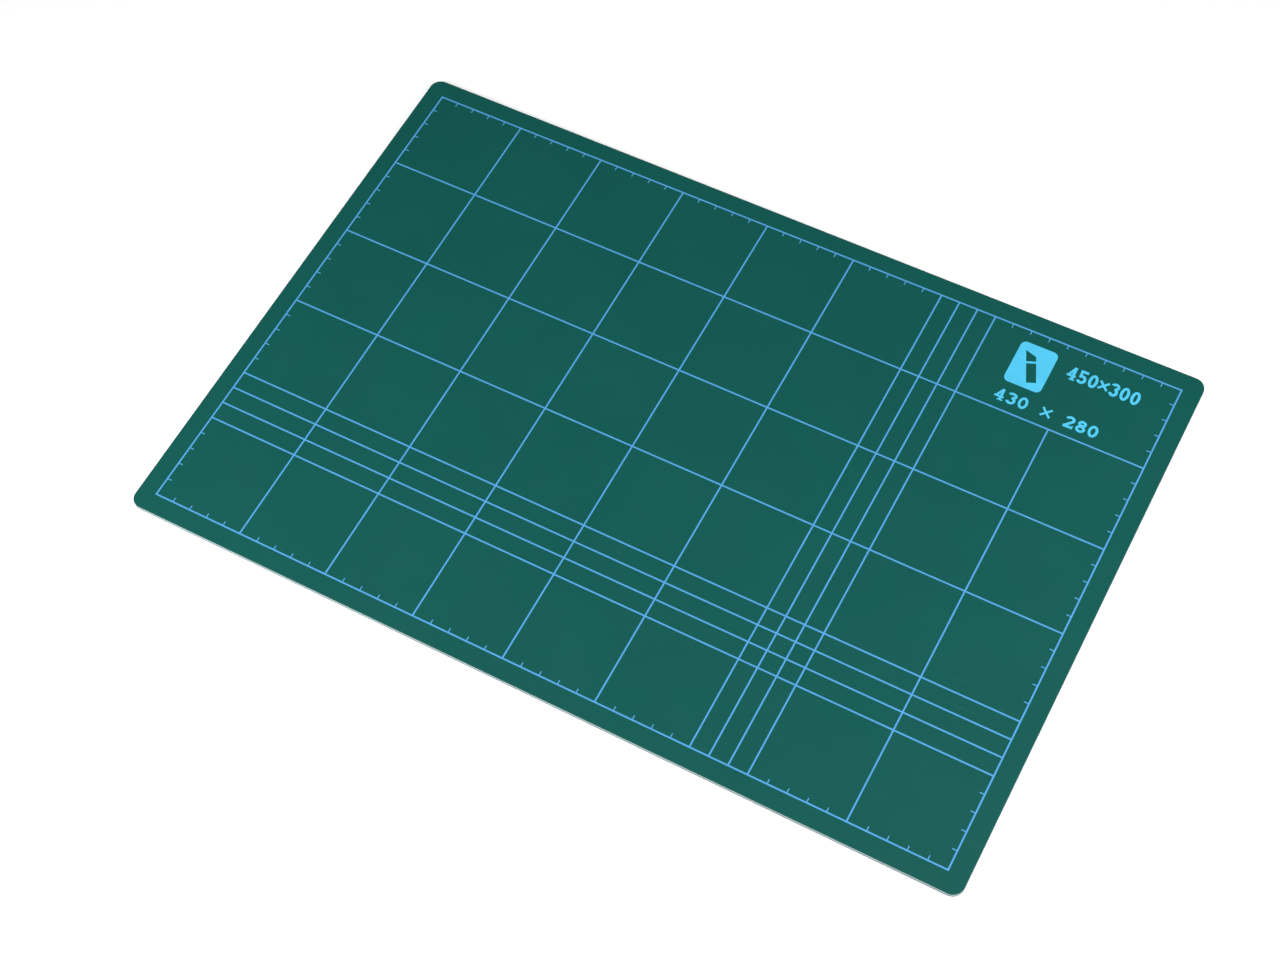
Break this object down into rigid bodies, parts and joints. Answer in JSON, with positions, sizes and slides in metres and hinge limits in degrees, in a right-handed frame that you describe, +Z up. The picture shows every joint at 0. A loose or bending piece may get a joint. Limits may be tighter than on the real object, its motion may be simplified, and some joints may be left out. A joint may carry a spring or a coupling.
{
  "type": "self healing cutting mat",
  "caption": "Flat rectangular cutting mat of fused plies with rounded corners, printed with a ruled grid, edge ticks and a small legend.",
  "frame": {"origin": "centre of the underside, which rests on the table", "axes": "+X along the long side with the legend at the +X +Y corner, +Y along the short side away from the user, +Z up out of the printed face"},
  "size_m": [0.45, 0.3, 0.0031],
  "materials": {
    "top_skin": "matte green self-healing PVC",
    "core": "pale die-cut rigid PVC",
    "back_skin": "matte grey PVC with a fine grain",
    "line_ink": "screen-printed light blue ink",
    "legend_ink": "screen-printed sky blue ink"
  },
  "bodies": {
    "root": {"back_skin": "back_skin", "core_sheet": "core", "top_skin": "top_skin", "printed_grid": "line_ink", "legend_tile": "legend_ink", "sheet_size_numeral_1": "legend_ink", "sheet_size_numeral_2": "legend_ink", "sheet_size_numeral_3": "legend_ink", "sheet_size_numeral_4": "legend_ink", "sheet_size_numeral_5": "legend_ink", "sheet_size_numeral_6": "legend_ink", "sheet_size_numeral_7": "legend_ink", "field_size_numeral_1": "legend_ink", "field_size_numeral_2": "legend_ink", "field_size_numeral_3": "legend_ink", "field_size_numeral_5": "legend_ink", "field_size_numeral_7": "legend_ink", "field_size_numeral_8": "legend_ink", "field_size_numeral_9": "legend_ink"}
  },
  "joints": []
}
